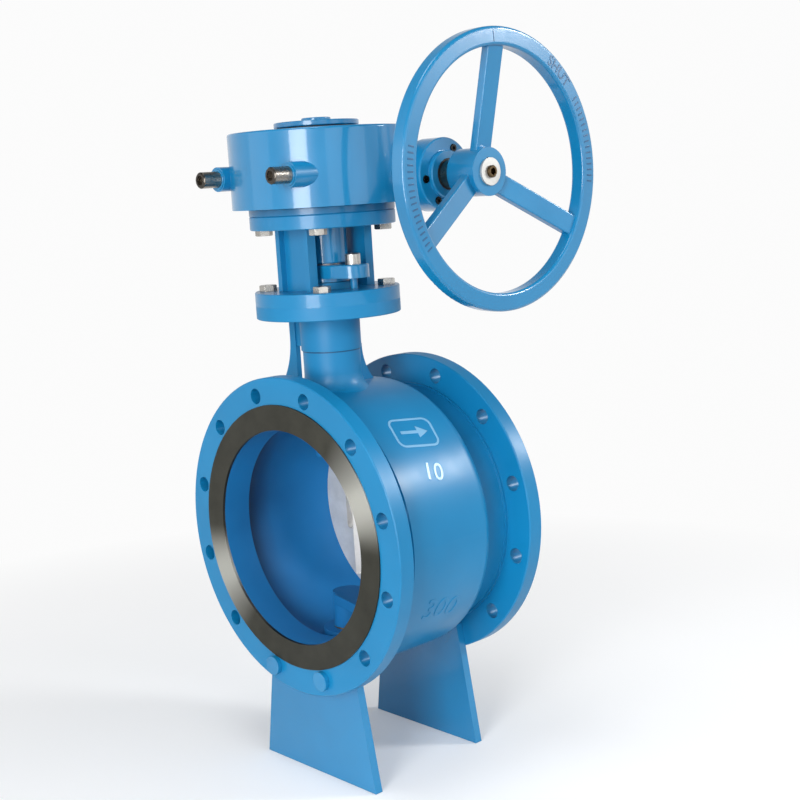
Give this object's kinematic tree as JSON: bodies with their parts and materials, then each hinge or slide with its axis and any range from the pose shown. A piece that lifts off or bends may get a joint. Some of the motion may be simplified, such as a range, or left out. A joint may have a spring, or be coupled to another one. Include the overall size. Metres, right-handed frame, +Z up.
{
  "type": "plug valve",
  "caption": "Eccentric plug valve: double-flanged body on two plate feet, stem neck with gland and yoke, worm gearbox with travel stops and a three-spoke handwheel on its side.",
  "frame": {"origin": "centre of the inlet flange face on the pipe axis", "axes": "+Y along the pipe from inlet to outlet, +Z up the stem, +X towards the handwheel"},
  "size_m": [0.4705, 0.426, 1.008],
  "materials": {
    "blue_paint": "gloss",
    "machined_steel": "turned",
    "stainless": "brushed",
    "zinc_steel": "satin",
    "dark_steel": "oiled",
    "bronze": "machined",
    "seal_rubber": "matte",
    "packing": "matte",
    "washer_steel": "satin"
  },
  "bodies": {
    "valve": {"valve_body": "blue_paint", "inlet_face_ring": "machined_steel", "outlet_face_ring": "machined_steel", "seat_ring": "stainless", "seat_seal": "seal_rubber", "seat_lock_ring": "stainless", "upper_stem_bush": "bronze", "lower_stem_bush": "bronze", "bottom_gasket": "seal_rubber", "bottom_cover": "blue_paint", "bottom_cover_bolts": "zinc_steel", "packing_rings": "packing", "gland_follower": "blue_paint", "gland_flange": "blue_paint", "gland_bolts": "zinc_steel", "front_foot": "blue_paint", "rear_foot": "blue_paint", "front_foot_bolts": "blue_paint", "rear_foot_bolts": "blue_paint", "yoke": "blue_paint", "yoke_lower_bolts": "zinc_steel", "yoke_upper_bolts": "zinc_steel", "gearbox_base": "blue_paint", "gearbox_base_screws": "zinc_steel", "gearbox_base_bush": "bronze", "gearbox_roof_bush": "bronze", "gearbox_housing": "blue_paint", "worm_bush_inner": "bronze", "worm_bush_outer": "bronze", "worm_tunnel_plug": "blue_paint", "bearing_cap": "blue_paint", "bearing_cap_screws": "dark_steel", "shaft_seal": "seal_rubber", "stop_screw_closed": "dark_steel", "stop_screw_open": "dark_steel", "stop_lock_rings": "dark_steel", "indicator_seal": "seal_rubber", "thrust_washer": "bronze"},
    "plug_body": {"plug": "blue_paint", "plug_pin": "stainless", "plug_stem": "stainless", "plug_trunnion": "stainless", "stem_coupling": "blue_paint", "coupling_key": "dark_steel", "gearbox_spindle": "dark_steel", "worm_wheel_key": "dark_steel", "worm_wheel": "bronze", "indicator_disc": "blue_paint", "indicator_cap": "blue_paint"},
    "wheel_body": {"worm_shaft": "dark_steel", "handwheel": "blue_paint", "handwheel_key": "dark_steel", "hub_washer": "washer_steel", "hub_screw": "dark_steel"}
  },
  "joints": [
    {"name": "plug_turn", "type": "hinge", "parent": "valve", "child": "plug_body", "pos_m": [-0.003, 0.101, 0], "axis": [0, 0, 1], "range_deg": [0, 90]},
    {"name": "handwheel_spin", "type": "hinge", "parent": "valve", "child": "wheel_body", "pos_m": [0.237, 0.201, 0.479], "axis": [1, 0, 0], "range_deg": [-3600, 0]}
  ],
  "couplings": [
    {"joint": "handwheel_spin", "follows": "plug_turn", "ratio": -40}
  ]
}
